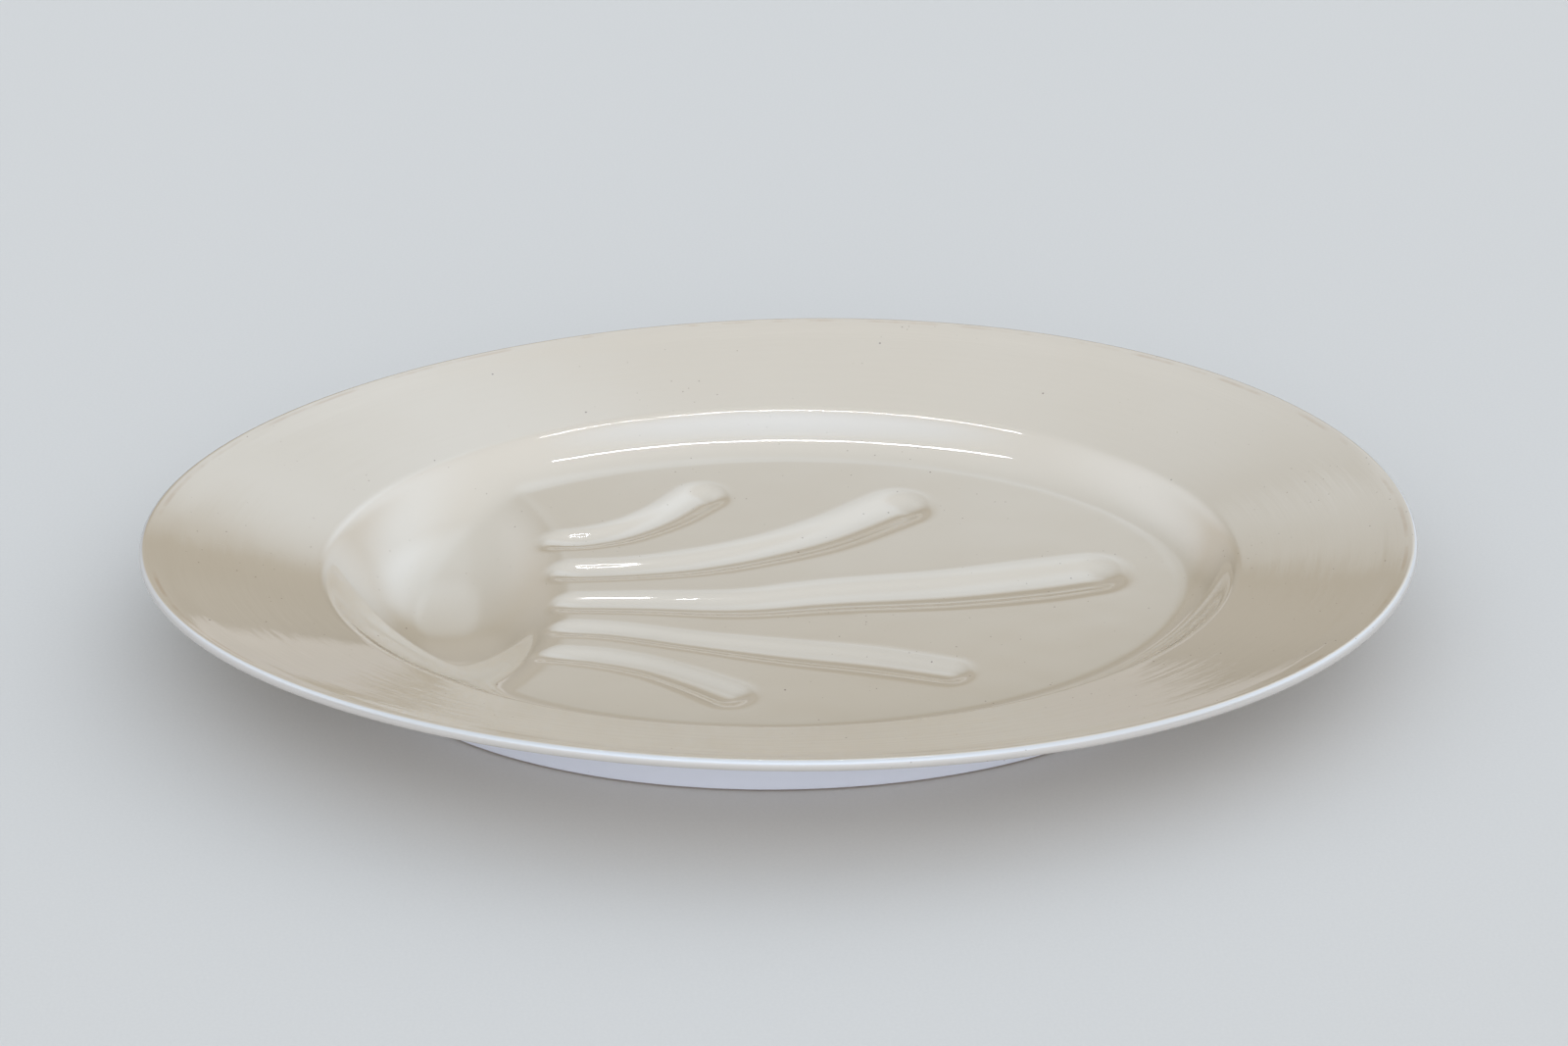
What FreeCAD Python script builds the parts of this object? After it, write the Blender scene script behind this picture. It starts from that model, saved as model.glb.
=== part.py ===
import FreeCAD, Part
import math
import os

# Oval meat platter: a dish of fired clay on an oval foot ring.
# Lengths are in millimetres. The origin is the middle of the plane that the foot rests on,
# X runs along the platter with the gravy well at -X, and Z points up.

Vector = FreeCAD.Vector

# Overall form
platter_length = 460.0
platter_width = 340.0
platter_height = 47.5
rim_thickness = 5.8
lip_thickness = 5.0
lip_radius = 2.3

# Well of the dish: the verge is the edge where the rim turns down into the well
verge_length = 330.0
verge_width = 238.0
verge_height = 31.5
verge_radius = 12.0
verge_back_radius = 16.0
wall_run = 11.0
floor_length = verge_length - 2 * wall_run
floor_width = verge_width - 2 * wall_run
floor_height = 18.5
floor_thickness = 8.0
wall_thickness = 6.0
wall_foot_radius = 14.0
base_height = floor_height - floor_thickness

# The firing left the rim slightly out of true: one diagonal higher, the two ends lower
kiln_twist = 2.6
kiln_droop = 1.2

# Gravy well, sunk in the floor at the left end
gravy_length = 79.0
gravy_depth = 11.0
gravy_wall_inset = 0.2
gravy_wall_radius = 28.0
gravy_edge_reach = floor_length / 2 - gravy_length
gravy_edge_radius = 201.0
gravy_edge_offset = 4.0
gravy_slope_degrees = 27.0
gravy_shoulder_radius = 24.0
gravy_hollow_radius = 40.0
gravy_underside_thickness = 4.5

# Channels that lead the juice to the gravy well
channel_width = 24.0
channel_depth = 4.4
channel_shoulder_share = 0.4
channel_shoulder_steps = 2
channel_hollow_steps = 6

# Foot ring, luted under the floor, and how far it stands out past the floor's ends and sides
foot_end_offset = 0.5
foot_side_offset = 1.5
foot_length = floor_length + 2 * foot_end_offset
foot_width = floor_width + 2 * foot_side_offset
foot_edge_width = 4.5
foot_edge_radius = 1.2
foot_seat_inset = 0.2
foot_inner_flare = 3.0

# How far a cutter runs past the surface that it cuts, and how far a flat may stand off a round
overrun = 0.4
facet_depth = 0.18
sewing_gap = 0.0001

# Each channel from the gravy well to its round end: places along and across the well
# as shares of half the floor's length and width, and widths as shares of the channel width
channel_course_shares = (
    ((-0.67, 0.345, 0.70), (-0.55, 0.355, 0.72), (-0.45, 0.377, 0.77), (-0.355, 0.432, 0.84),
     (-0.26, 0.535, 0.95), (-0.18, 0.665, 1.04)),
    ((-0.67, 0.143, 0.72), (-0.52, 0.143, 0.78), (-0.355, 0.157, 0.80), (-0.195, 0.196, 0.93),
     (-0.03, 0.274, 1.03), (0.13, 0.386, 1.18), (0.305, 0.565, 1.28)),
    ((-0.67, -0.079, 0.63), (-0.52, -0.077, 0.70), (-0.325, -0.081, 0.80), (-0.095, -0.095, 0.97),
     (0.13, -0.053, 1.16), (0.39, -0.030, 1.31), (0.60, 0.012, 1.42), (0.74, 0.049, 1.38)),
    ((-0.67, -0.245, 0.58), (-0.52, -0.254, 0.60), (-0.39, -0.275, 0.61), (-0.195, -0.355, 0.68),
     (0.0, -0.430, 0.86), (0.20, -0.502, 0.93), (0.37, -0.588, 0.88)),
    ((-0.67, -0.425, 0.55), (-0.545, -0.430, 0.60), (-0.44, -0.452, 0.65), (-0.325, -0.512, 0.71),
     (-0.227, -0.600, 0.81), (-0.133, -0.705, 0.93)),
)

# Number of points that shape each quarter of an oval
quarter_points = 6


def direction(start, end):
    run, rise = end[0] - start[0], end[1] - start[1]
    length = math.hypot(run, rise)
    return run / length, rise / length


def shifted(point, way, distance):
    """A point moved to the right-hand side of a way."""
    return point[0] + way[1] * distance, point[1] - way[0] * distance


def crossing(start, way, other_start, other_way):
    """Where two lines of a profile meet."""
    turn = way[0] * other_way[1] - way[1] * other_way[0]
    gap = (other_start[0] - start[0], other_start[1] - start[1])
    distance = (gap[0] * other_way[1] - gap[1] * other_way[0]) / turn
    return start[0] + way[0] * distance, start[1] + way[1] * distance


def turn_between(way, next_way):
    """The turn from one way to the next, positive to the left."""
    cross = way[0] * next_way[1] - way[1] * next_way[0]
    return math.atan2(cross, way[0] * next_way[0] + way[1] * next_way[1])


def grown(profile, gap):
    """The profile moved outwards, to its right-hand side, with its roundings kept concentric.

    A profile is a list of corners (out from the middle, height, radius). Its first and last
    corners lie on the middle axis, where the surface is level.
    """
    moved = []
    for index, (out, height, radius) in enumerate(profile):
        if index == 0:
            moved.append((out, height - gap, radius))
        elif index == len(profile) - 1:
            moved.append((out, height + gap, radius))
        else:
            way = direction(profile[index - 1], profile[index])
            next_way = direction(profile[index], profile[index + 1])
            turn = turn_between(way, next_way)
            reach = gap / (1 + way[0] * next_way[0] + way[1] * next_way[1])
            corner = shifted(shifted((out, height), way, reach), next_way, reach)
            moved.append(corner + (radius + math.copysign(gap, turn),))
    return moved


def corner_points(before, corner, after, steps):
    """The points of a rounded corner: where it starts, its steps and where it ends."""
    radius = corner[2]
    if radius == 0:
        return [corner[:2]]
    way = direction(before, corner)
    turn = turn_between(way, direction(corner, after))
    setback = radius * math.tan(abs(turn) / 2)
    side = math.copysign(radius, turn)
    start = (corner[0] - way[0] * setback, corner[1] - way[1] * setback)
    centre = shifted(start, way, -side)
    points = []
    for index in range(steps + 1):
        angle = turn * index / steps
        spoke = (way[1] * math.cos(angle) + way[0] * math.sin(angle),
                 way[1] * math.sin(angle) - way[0] * math.cos(angle))
        points.append((centre[0] + spoke[0] * side, centre[1] + spoke[1] * side))
    return points


def rounding_steps(before, corner, after):
    """How many flats follow a rounding within the facet depth."""
    if corner[2] == 0:
        return 1
    turn = abs(turn_between(direction(before, corner), direction(corner, after)))
    step = 2 * math.acos(max(0.0, 1 - facet_depth / corner[2]))
    return max(1, math.ceil(turn / step))


def rings_of(end_profile, side_profile, closed):
    """Ovals along a profile, each a pair of points: one at the platter's end, one at its side."""
    count = len(end_profile)
    rings = []
    for index in range(count):
        if not closed and index in (0, count - 1):
            continue
        after = (index + 1) % count
        steps = rounding_steps(end_profile[index - 1], end_profile[index], end_profile[after])
        at_end = corner_points(end_profile[index - 1], end_profile[index], end_profile[after], steps)
        at_side = corner_points(side_profile[index - 1], side_profile[index], side_profile[after], steps)
        rings.extend(zip(at_end, at_side))
    return rings


def unit_oval():
    """A smooth closed curve round a unit circle, whose poles every oval of the platter scales."""
    count = 4 * quarter_points
    points = []
    for index in range(count):
        angle = 2 * math.pi * index / count
        points.append(Vector(math.cos(angle), math.sin(angle), 0))
    curve = Part.BSplineCurve()
    curve.interpolate(Points=points, PeriodicFlag=True)
    return curve


UNIT_OVAL = unit_oval()


def rim_share(out):
    """How far out on the rim a point lies: 0 up to the verge, 1 at the lip."""
    return max(0.0, (2 * out - verge_length) / (platter_length - verge_length))


def oval_poles(ring):
    (half_length, end_height), (half_width, side_height) = ring
    share = rim_share(half_length)
    poles = []
    for pole in UNIT_OVAL.getPoles():
        reach = pole.x ** 2 + pole.y ** 2
        side_part = pole.y ** 2 / reach
        twist = kiln_twist * 2 * pole.x * pole.y / reach
        droop = kiln_droop * (pole.x ** 2 - pole.y ** 2) / reach
        height = end_height + (side_height - end_height) * side_part + (twist - droop) * share
        poles.append(Vector(half_length * pole.x, half_width * pole.y, height))
    return poles


def oval_wire(ring):
    curve = Part.BSplineCurve()
    curve.buildFromPolesMultsKnots(oval_poles(ring), UNIT_OVAL.getMultiplicities(),
                                   UNIT_OVAL.getKnots(), True, UNIT_OVAL.Degree)
    return Part.Wire(curve.toShape())


def is_level(ring, next_ring):
    heights = {ring[0][1], ring[1][1], next_ring[0][1], next_ring[1][1]}
    return max(heights) - min(heights) < sewing_gap and rim_share(max(ring[0][0], next_ring[0][0])) == 0


def band(ring, next_ring):
    """The face between two ovals: flat where both lie in one plane, and ruled elsewhere."""
    if is_level(ring, next_ring):
        outer, inner = sorted((oval_wire(ring), oval_wire(next_ring)), key=lambda wire: -wire.Length)
        inner.reverse()
        return Part.Face([outer, inner])
    surface = Part.BSplineSurface()
    surface.buildFromPolesMultsKnots([oval_poles(ring), oval_poles(next_ring)], [2, 2],
                                     UNIT_OVAL.getMultiplicities(), [0, 1], UNIT_OVAL.getKnots(),
                                     False, True, 1, UNIT_OVAL.Degree)
    return surface.toShape()


def oval_solid(end_profile, side_profile, closed=False):
    """A solid whose section is one profile at the platter's ends and another at its sides."""
    rings = rings_of(end_profile, side_profile, closed)
    faces = [band(ring, next_ring) for ring, next_ring in zip(rings, rings[1:])]
    if closed:
        faces.append(band(rings[-1], rings[0]))
    else:
        faces.append(Part.Face(oval_wire(rings[0])))
        faces.append(Part.Face(oval_wire(rings[-1])))
    skin = Part.makeShell(faces)
    skin.sewShape(sewing_gap)
    solid = Part.Solid(skin.Shells[0])
    if solid.Volume < 0:
        solid.reverse()
    return solid


def dish_profile(length, verge_span, floor_span):
    """The dish's section from the middle of its underside round the lip to the middle of its floor."""
    verge = (verge_span / 2, verge_height)
    floor = (floor_span / 2, floor_height)
    run, rise = direction(verge, (length / 2, platter_height))
    rounded_off = lip_radius * (run + rise - 1)
    lip_high = (length / 2 + rounded_off - lip_thickness * rise, platter_height + rounded_off)
    lip_low = shifted(lip_high, (run, rise), lip_thickness)
    rim = direction(lip_high, verge)
    wall = direction(verge, floor)
    wall_back = shifted(floor, wall, -wall_thickness)
    rim_back = shifted(verge, rim, -rim_thickness)
    verge_back = crossing(wall_back, wall, rim_back, direction(lip_low, rim_back))
    base = crossing(wall_back, wall, (0, base_height), (1, 0))
    return [(0, base_height, 0), base + (0,), verge_back + (verge_back_radius,),
            lip_low + (lip_radius,), lip_high + (lip_radius,), verge + (verge_radius,),
            floor + (wall_foot_radius,), (0, floor_height, 0)]


def gravy_wall_profile(verge_span, floor_span):
    """The platter's own wall, carried down below the floor to the bottom of the gravy well."""
    verge = (verge_span / 2 - gravy_wall_inset, verge_height)
    floor = (floor_span / 2 - gravy_wall_inset, floor_height)
    bottom_height = floor_height - gravy_depth
    bottom = crossing(verge, direction(verge, floor), (0, bottom_height), (1, 0))
    return [(0, bottom_height, 0), bottom + (gravy_wall_radius,), verge + (0,), (0, verge_height, 0)]


def gravy_slope_profile():
    """The slope that rises from the gravy well's bottom to its curved edge in the floor."""
    slope = math.radians(gravy_slope_degrees)
    bottom_height = floor_height - gravy_depth
    shoulder_run = gravy_shoulder_radius * math.tan(slope / 2)
    shoulder = (gravy_edge_radius - shoulder_run, floor_height)
    bottom = (shoulder[0] - gravy_depth / math.tan(slope), bottom_height)
    return bottom, shoulder


def profile_face(points):
    corners = [Vector(out, 0, height) for out, height in points]
    return Part.Face(Part.makePolygon(corners + corners[:1]))


def gravy_slope_cutter(gap):
    """A round plug whose flank is the slope, on an axis beyond the platter's left end."""
    bottom, shoulder = gravy_slope_profile()
    low = grown([(0, bottom[1], 0), bottom + (gravy_hollow_radius,), shoulder + (0,),
                 (0, shoulder[1], 0)], gap)
    rise_way = direction(low[1], low[2])
    hollow = corner_points(low[0], low[1], low[2], rounding_steps(low[0], low[1], low[2]))
    slope = math.radians(gravy_slope_degrees)
    points = [low[0][:2]] + hollow
    if gap == 0:
        steps = channel_shoulder_steps
        centre = (gravy_edge_radius, floor_height - gravy_shoulder_radius)
        for index in range(steps):
            angle = slope * (steps - index) / steps
            points.append((centre[0] - gravy_shoulder_radius * math.sin(angle),
                           centre[1] + gravy_shoulder_radius * math.cos(angle)))
        edge = (gravy_edge_radius, floor_height)
        points.append(crossing(edge, direction(points[-1], edge), (0, verge_height), (1, 0)))
    else:
        points.append(crossing(low[1], rise_way, (0, floor_height), (1, 0)))
    points.append((0, points[-1][1]))
    axis = Vector(-gravy_edge_reach - gravy_edge_radius, gravy_edge_offset, 0)
    plug = profile_face(points).revolve(Vector(0, 0, 0), Vector(0, 0, 1), 360)
    plug.translate(axis)
    return plug


def gravy_well(gap=0.0):
    """The hollow of the gravy well, or with a gap its outside, that much larger all round."""
    wall = oval_solid(grown(gravy_wall_profile(verge_length, floor_length), gap),
                      grown(gravy_wall_profile(verge_width, floor_width), gap))
    return wall.common(gravy_slope_cutter(gap))


def channel_half_section(width):
    """Half a channel's section, from its edge in the floor down to its middle.

    A shoulder rolls over into the side and a hollow rolls out of it, with one tangent between
    them, so the width and the depth alone set the steepest slope.
    """
    depth = channel_depth * math.sqrt(width / channel_width)
    steepest = 2 * math.atan(2 * depth / width)
    radii = width / 2 / math.sin(steepest)
    shoulder = radii * channel_shoulder_share
    hollow = radii - shoulder
    points = []
    for index in range(channel_shoulder_steps + 1):
        angle = steepest * index / channel_shoulder_steps
        points.append((width / 2 - shoulder * math.sin(angle), shoulder * (math.cos(angle) - 1)))
    half_steps = channel_hollow_steps // 2
    for index in range(1, half_steps + 1):
        angle = steepest * (half_steps - index) / half_steps
        points.append((hollow * math.sin(angle), hollow * (1 - math.cos(angle)) - depth))
    way = direction(points[1], points[0])
    points[0] = (points[0][0] + way[0] / way[1] * overrun, overrun)
    return points


def channel_section(width, place, way):
    """A channel's whole section, upright and square to the channel's way."""
    half = channel_half_section(width)
    across = Vector(-way.y, way.x, 0)
    outline = half + [(-out, height) for out, height in reversed(half[:-1])]
    corners = [place + across * out + Vector(0, 0, height) for out, height in outline]
    return Part.makePolygon(corners + corners[:1])


def channel_cutter(course_shares):
    """A channel with its round far end, as the solid to take out of the floor."""
    places = []
    widths = []
    for along_share, across_share, width_share in course_shares:
        places.append(Vector(along_share * floor_length / 2, across_share * floor_width / 2, floor_height))
        widths.append(width_share * channel_width)
    course = Part.BSplineCurve()
    course.interpolate(places)
    ways = [course.tangent(course.parameter(place))[0] for place in places]
    sections = [channel_section(*station) for station in zip(widths, places, ways)]
    run = Part.makeLoft(sections, True, False)
    half = [Vector(0, 0, overrun)]
    half += [Vector(out, 0, height) for out, height in channel_half_section(widths[-1])]
    end = Part.Face(Part.makePolygon(half + half[:1]))
    end = end.revolve(Vector(0, 0, 0), Vector(0, 0, 1), 180)
    turn = math.degrees(math.atan2(ways[-1].y, ways[-1].x))
    end.rotate(Vector(0, 0, 0), Vector(0, 0, 1), turn - 90)
    end.translate(places[-1])
    return run.fuse(end)


def foot_profile(length, base):
    """The foot ring's section, from its resting edge up to the edge of the dish's base."""
    outer = length / 2
    inner = outer - foot_edge_width
    return [(inner, 0, foot_edge_radius), (outer, 0, foot_edge_radius),
            (base[0] - foot_seat_inset, base_height, 0), (inner - foot_inner_flare, base_height, 0)]


def build():
    end_profile = dish_profile(platter_length, verge_length, floor_length)
    side_profile = dish_profile(platter_width, verge_width, floor_width)
    uncut_dish = oval_solid(end_profile, side_profile)
    uncut_dish = uncut_dish.fuse(gravy_well(gravy_underside_thickness))
    foot_ring = oval_solid(foot_profile(foot_length, end_profile[1]),
                           foot_profile(foot_width, side_profile[1]), closed=True)
    foot_ring = foot_ring.cut(uncut_dish)
    dish = uncut_dish.cut(gravy_well())
    for course_shares in channel_course_shares:
        dish = dish.cut(channel_cutter(course_shares))
    return {"dish_body": dish, "foot_ring": foot_ring}


def main():
    os.makedirs("parts", exist_ok=True)
    for name, shape in build().items():
        solids = shape.Solids
        print(f"{name}: {len(solids)} solid, {shape.Volume / 1000:.1f} cm3, valid {shape.isValid()}")
        shape.exportStep(f"parts/{name}.step")


main()
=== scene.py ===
"""Looks of an oval well-and-tree meat platter in cream-white glazed clay.

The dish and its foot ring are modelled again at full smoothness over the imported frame, dressed in
a fired glaze, and lit by a soft studio with the photograph's camera.
"""
import logging
import math
from collections.abc import Iterator
from contextlib import contextmanager
from dataclasses import dataclass
from enum import Enum
from typing import NamedTuple

import bpy
import numpy as np
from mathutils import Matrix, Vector


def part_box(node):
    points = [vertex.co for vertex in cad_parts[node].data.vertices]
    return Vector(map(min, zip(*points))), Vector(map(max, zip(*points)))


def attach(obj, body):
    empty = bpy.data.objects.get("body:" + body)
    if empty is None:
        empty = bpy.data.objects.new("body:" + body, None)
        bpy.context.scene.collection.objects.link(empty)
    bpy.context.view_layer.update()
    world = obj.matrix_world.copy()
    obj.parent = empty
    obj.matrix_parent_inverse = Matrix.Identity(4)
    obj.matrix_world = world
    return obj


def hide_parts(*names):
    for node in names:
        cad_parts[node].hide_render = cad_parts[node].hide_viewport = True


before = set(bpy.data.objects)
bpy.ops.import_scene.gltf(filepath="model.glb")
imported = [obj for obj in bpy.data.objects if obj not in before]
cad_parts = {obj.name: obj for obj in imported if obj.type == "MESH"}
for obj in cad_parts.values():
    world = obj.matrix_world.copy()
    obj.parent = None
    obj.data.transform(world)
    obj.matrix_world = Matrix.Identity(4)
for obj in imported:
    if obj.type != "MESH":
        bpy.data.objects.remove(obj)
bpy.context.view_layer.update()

MM = 0.001
BOX_CLEARANCE = 0.05 * MM
SHARE_HALVINGS = 26
LEAST_REACH = 1e-9
LOG = logging.getLogger("meat_platter")

Colour = tuple[float, float, float, float]
Pair = tuple[float, float]
Place = tuple[float, float, float]
Heights = np.ndarray
Level = np.ndarray | float
Node = bpy.types.Node
Socket = bpy.types.NodeSocket


class Corner(NamedTuple):
    """A corner of a section: how far out it lies, how high, and the radius that rounds it."""

    out: float
    height: float
    radius: float = 0.0


class Ring(NamedTuple):
    """An oval round the platter, by its place at the platter's end and at its side."""

    half_length: float
    end_height: float
    half_width: float
    side_height: float


class SeenBy(Enum):
    """Which rays see a patch of light in the studio's surround."""

    ALL = 0
    REFLECTIONS = 1


class Rounding(Enum):
    """Which way a smooth joint between two surfaces turns."""

    HOLLOW = 1
    CROWNED = -1


class Picked(Enum):
    """What edit mode starts with selected, and what that asks of select_all first."""

    ALL = "SELECT"
    OPEN_EDGES = "DESELECT"


def tone(red: int, green: int, blue: int) -> Colour:
    """A linear colour from a display colour.

    Args:
        red: The display colour's red, from 0 to 255.
        green: Its green.
        blue: Its blue.

    Returns:
        The linear colour.
    """
    shares = [value / 255 for value in (red, green, blue)]
    linear = [s / 12.92 if s <= 0.04045 else ((s + 0.055) / 1.055) ** 2.4 for s in shares]
    return (*linear, 1.0)


def eased(value: Level, start: float, end: float) -> Level:
    """A smooth step of a value: 0 up to the start, and 1 from the end on."""
    part = np.clip((value - start) / (end - start), 0, 1)
    return part * part * (3 - 2 * part)


def heading(start: Corner, end: Corner) -> Pair:
    """The way from one corner of a section to the next.

    Args:
        start: The corner it leaves.
        end: The corner it reaches.

    Returns:
        The way as a unit run and rise.
    """
    run, rise = end.out - start.out, end.height - start.height
    length = math.hypot(run, rise)
    return run / length, rise / length


def beside(corner: Corner, way: Pair, distance: float) -> Corner:
    """A corner moved to the right-hand side of a way."""
    return Corner(corner.out + way[1] * distance, corner.height - way[0] * distance)


def meeting(start: Corner, way: Pair, other: Corner, other_way: Pair) -> Corner:
    """Where two lines of a section meet.

    Args:
        start: A corner on the first line.
        way: The first line's way.
        other: A corner on the second line.
        other_way: The second line's way.

    Returns:
        The corner that both lines pass through.
    """
    turn = way[0] * other_way[1] - way[1] * other_way[0]
    gap = (other.out - start.out, other.height - start.height)
    distance = (gap[0] * other_way[1] - gap[1] * other_way[0]) / turn
    return Corner(start.out + way[0] * distance, start.height + way[1] * distance)


def rounded(before: Corner, corner: Corner, after: Corner, steps: int) -> list[Pair]:
    """The points of one rounded corner of a section.

    Args:
        before: The corner before it.
        corner: The corner to round.
        after: The corner after it.
        steps: How many chords follow the arc.

    Returns:
        The points as (out, height) pairs, from the start of the arc to its end.
    """
    if corner.radius == 0:
        return [(corner.out, corner.height)]
    way = heading(before, corner)
    next_way = heading(corner, after)
    across = way[0] * next_way[1] - way[1] * next_way[0]
    ahead = way[0] * next_way[0] + way[1] * next_way[1]
    turn = math.atan2(across, ahead)
    setback = corner.radius * math.tan(abs(turn) / 2)
    side = math.copysign(corner.radius, turn)
    start = Corner(corner.out - way[0] * setback, corner.height - way[1] * setback)
    centre = beside(start, way, -side)
    points = []
    for index in range(steps + 1):
        angle = turn * index / steps
        spoke_out = way[1] * math.cos(angle) + way[0] * math.sin(angle)
        spoke_up = way[1] * math.sin(angle) - way[0] * math.cos(angle)
        points.append((centre.out + spoke_out * side, centre.height + spoke_up * side))
    return points


def section_rings(end_section: list[Corner], side_section: list[Corner],
                  steps: int, spans: int) -> list[Ring]:
    """The rings along a section, with its corners rounded and its straights divided.

    Args:
        end_section: The corners at the platter's end. The first and last only set the way in and out.
        side_section: The matching corners at the platter's side.
        steps: Chords in each rounded corner.
        spans: Parts in each straight between two corners.

    Returns:
        The rings in the order of the section.
    """
    rings: list[Ring] = []
    for index in range(1, len(end_section) - 1):
        at_end = rounded(*end_section[index - 1:index + 2], steps)
        at_side = rounded(*side_section[index - 1:index + 2], steps)
        corner_rings = [Ring(*end, *side) for end, side in zip(at_end, at_side)]
        if rings:
            last = rings[-1]
            for part in range(1, spans):
                share = part / spans
                rings.append(Ring(*(a + (b - a) * share for a, b in zip(last, corner_rings[0]))))
        rings.extend(corner_rings)
    return rings


def joined(first: Heights, second: Level, reach: Level, rounding: Rounding) -> Heights:
    """Two height fields joined with a smooth rounding.

    Args:
        first: The heights of one surface.
        second: The heights of the other.
        reach: The difference in height within which the two run into each other.
        rounding: HOLLOW keeps the higher surface, CROWNED the lower.

    Returns:
        The heights of the joined surface.
    """
    sign = rounding.value
    near = np.maximum(reach - np.abs(first - second), 0)
    return sign * np.maximum(sign * first, sign * second) + sign * near ** 2 / (4 * reach)


def rounding_reach(radius: Level, slope: Level, other_slope: Level = 0.0) -> Level:
    """The reach that joins two slopes with about a given radius."""
    lean = np.sin(np.arctan(slope)) - np.sin(np.arctan(other_slope))
    return np.abs(slope - other_slope) * radius * np.abs(lean) / 2


def oval_share(x: Heights, y: Heights, inner: Pair, outer: Pair, span: Pair) -> Heights:
    """How far each point lies from one oval to the next: 0 on the inner, 1 on the outer.

    Args:
        x: Places along the platter.
        y: Places across the platter.
        inner: Half length and half width of the inner oval.
        outer: Half length and half width of the outer oval.
        span: The lowest and the highest share looked for.

    Returns:
        The share at each point, kept within the span.
    """
    low, high = (np.full(x.shape, share) for share in span)
    for _ in range(SHARE_HALVINGS):
        middle = (low + high) / 2
        half_length = inner[0] + (outer[0] - inner[0]) * middle
        half_width = inner[1] + (outer[1] - inner[1]) * middle
        outside = (x / half_length) ** 2 + (y / half_width) ** 2 > 1
        low = np.where(outside, middle, low)
        high = np.where(outside, high, middle)
    return (low + high) / 2


def smooth_through(knots: np.ndarray, values: np.ndarray, fine: np.ndarray) -> np.ndarray:
    """Values on a smooth curve through given ones.

    Args:
        knots: The places of the given values, in order.
        values: The given values.
        fine: The places to find values at.

    Returns:
        The values at the fine places.
    """
    slopes = np.gradient(values, knots)
    index = np.clip(np.searchsorted(knots, fine, side="right") - 1, 0, len(knots) - 2)
    part = fine - knots[index]
    start, end = values[index], values[index + 1]
    leave = part * (1 - part) ** 2
    arrive = part * part * (part - 1)
    return start + (end - start) * eased(part, 0, 1) + slopes[index] * leave + slopes[index + 1] * arrive


def nearest_on_course(spots: np.ndarray, places: np.ndarray, widths: np.ndarray) -> tuple[np.ndarray, ...]:
    """The nearest place of a course to each spot.

    Args:
        spots: The spots, as rows of two places.
        places: Points down the middle of the course, as such rows.
        widths: The course's width at each of those points.

    Returns:
        The distance from each spot, the course's width there, and the share of the course run by then.
    """
    starts = places[:-1]
    way = places[1:] - starts
    length_squared = (way ** 2).sum(axis=1)
    best = np.full(len(spots), np.inf)
    width = np.zeros(len(spots))
    run_share = np.zeros(len(spots))
    parts = zip(starts, way, length_squared, widths[:-1], widths[1:])
    for index, (start, step, square, near_width, far_width) in enumerate(parts):
        gap = spots - start
        share = np.clip(gap @ step / square, 0, 1)
        distance = np.hypot(*(gap - share[:, None] * step).T)
        closer = distance < best
        best = np.where(closer, distance, best)
        width = np.where(closer, near_width + (far_width - near_width) * share, width)
        run_share = np.where(closer, (index + share) / len(way), run_share)
    return best, width, run_share


@dataclass(frozen=True)
class Rim:
    """The wide rim, its lip, and how the kiln warped it."""

    half_length: float
    half_width: float
    height: float = 47.3 * MM
    thickness: float = 5.8 * MM
    lip_thickness: float = 4.0 * MM
    lip_radius: float = 1.9 * MM
    twist: float = 2.5 * MM
    droop: float = 1.15 * MM

    def lip_oval(self) -> Pair:
        """Half length and half width of the lip."""
        return self.half_length, self.half_width

    def warp(self, x: Heights, y: Heights, share: Heights) -> Heights:
        """How far the kiln lifted each point.

        Args:
            x: Places along the platter.
            y: Places across the platter.
            share: How far each point lies from the verge to the lip.

        Returns:
            The lift: nothing at the verge, and all of it at the lip.
        """
        along = x / self.half_length
        across = y / self.half_width
        reach = np.maximum(along ** 2 + across ** 2, LEAST_REACH)
        twisted = self.twist * 2 * along * across / reach
        drooped = self.droop * (along ** 2 - across ** 2) / reach
        return (twisted - drooped) * np.clip(share, 0, 1)


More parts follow.
